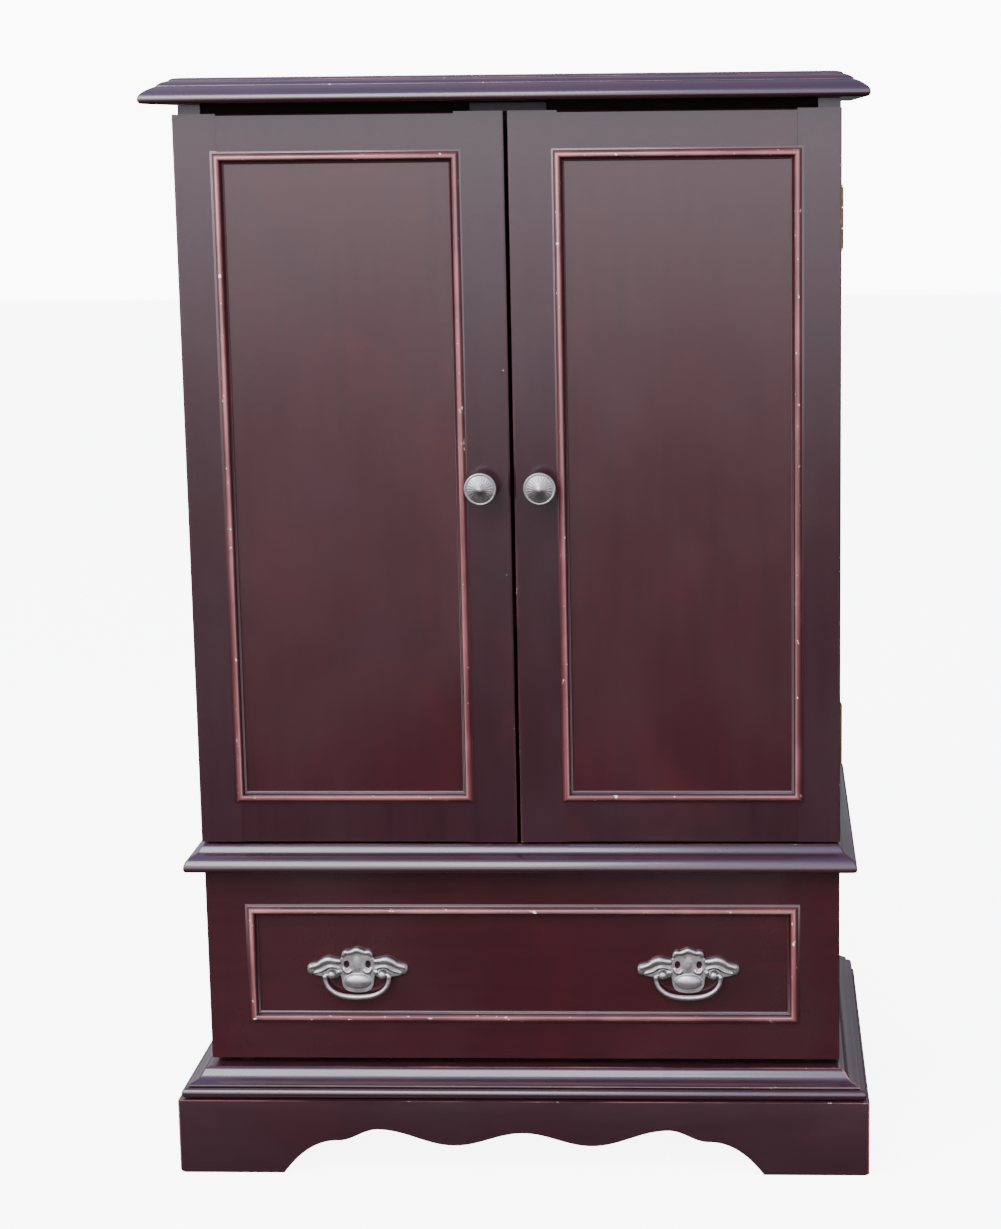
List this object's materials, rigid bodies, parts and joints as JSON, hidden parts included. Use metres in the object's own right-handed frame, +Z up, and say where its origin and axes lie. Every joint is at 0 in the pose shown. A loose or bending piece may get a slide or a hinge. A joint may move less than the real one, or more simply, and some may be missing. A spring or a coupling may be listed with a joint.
{
  "type": "jewelry armoire",
  "caption": "Small dark wood jewelry armoire with framed panel doors over a full-width drawer with bail pulls, on a scalloped bracket plinth.",
  "frame": {"origin": "on the floor, in the middle of the footprint", "axes": "+X to the right seen from the front, +Y towards the back, +Z up; the doors and drawer face -Y"},
  "size_m": [0.448, 0.284, 0.7],
  "materials": {
    "mahogany": "dark red-brown mahogany stain under semi-gloss lacquer, rubbed red and pale on the edges",
    "panel_wood": "slightly redder veneer panel under semi-gloss lacquer with cloudy streaks",
    "inner_wood": "thin brown-red stain, satin, unpolished",
    "drawer_wood": "plain drawer wood, light stain, matt",
    "felt": "dark wine jeweller's velvet",
    "pewter": "cast hardware with an aged pewter finish, dark in the recesses",
    "brass": "dull plated brass",
    "steel": "plain zinc-plated steel",
    "catch_plastic": "matt black moulded plastic"
  },
  "bodies": {
    "cabinet": {"back_panel": "inner_wood", "base_moulding_front": "mahogany", "base_moulding_left": "mahogany", "base_moulding_right": "mahogany", "bottom_board": "mahogany", "hinge_case_leaf_left_lower": "brass", "hinge_case_leaf_left_upper": "brass", "hinge_case_leaf_right_lower": "brass", "hinge_case_leaf_right_upper": "brass", "hinge_pin_left_lower": "brass", "hinge_pin_left_upper": "brass", "hinge_pin_right_lower": "brass", "hinge_pin_right_upper": "brass", "hook_strip": "brass", "inner_shelf": "inner_wood", "lower_side_left": "mahogany", "lower_side_right": "mahogany", "magnet_catch": "catch_plastic", "plinth_back": "mahogany", "plinth_front": "mahogany", "plinth_left": "mahogany", "plinth_right": "mahogany", "shelf_liner": "felt", "top_board": "mahogany", "upper_side_left": "mahogany", "upper_side_right": "mahogany", "waist_board": "mahogany"},
    "door_left": {"door_left_knob": "pewter", "door_left_knob_screw": "steel", "door_left_moulding": "mahogany", "door_left_panel": "panel_wood", "door_left_rail_bottom": "mahogany", "door_left_rail_top": "mahogany", "door_left_stile_hinge": "mahogany", "door_left_stile_meeting": "mahogany", "door_left_strike_plate": "steel", "hinge_door_leaf_left_lower": "brass", "hinge_door_leaf_left_upper": "brass"},
    "door_right": {"door_right_knob": "pewter", "door_right_knob_screw": "steel", "door_right_moulding": "mahogany", "door_right_panel": "panel_wood", "door_right_rail_bottom": "mahogany", "door_right_rail_top": "mahogany", "door_right_stile_hinge": "mahogany", "door_right_stile_meeting": "mahogany", "door_right_strike_plate": "steel", "hinge_door_leaf_right_lower": "brass", "hinge_door_leaf_right_upper": "brass"},
    "drawer": {"drawer_back": "drawer_wood", "drawer_bottom": "drawer_wood", "drawer_front": "mahogany", "drawer_liner": "felt", "drawer_moulding": "mahogany", "drawer_side_left": "drawer_wood", "drawer_side_right": "drawer_wood", "pull_plate_left": "pewter", "pull_plate_right": "pewter"},
    "bail_left": {"pull_bail_left": "pewter"},
    "bail_right": {"pull_bail_right": "pewter"}
  },
  "joints": [
    {"name": "door_left_hinge", "type": "hinge", "parent": "cabinet", "child": "door_left", "pos_m": [-0.205, -0.1015, 0.448], "axis": [0, 0, -1], "range_deg": [0, 165]},
    {"name": "door_right_hinge", "type": "hinge", "parent": "cabinet", "child": "door_right", "pos_m": [0.205, -0.1015, 0.448], "axis": [0, 0, 1], "range_deg": [0, 165]},
    {"name": "drawer_slide", "type": "slide", "parent": "cabinet", "child": "drawer", "axis": [0, -1, 0], "range_m": [0, 0.17]},
    {"name": "bail_left_pivot", "type": "hinge", "parent": "drawer", "child": "bail_left", "pos_m": [-0.1075, -0.1181, 0.1285], "axis": [-1, 0, 0], "range_deg": [0, 150]},
    {"name": "bail_right_pivot", "type": "hinge", "parent": "drawer", "child": "bail_right", "pos_m": [0.1075, -0.1181, 0.1285], "axis": [-1, 0, 0], "range_deg": [0, 150]}
  ]
}
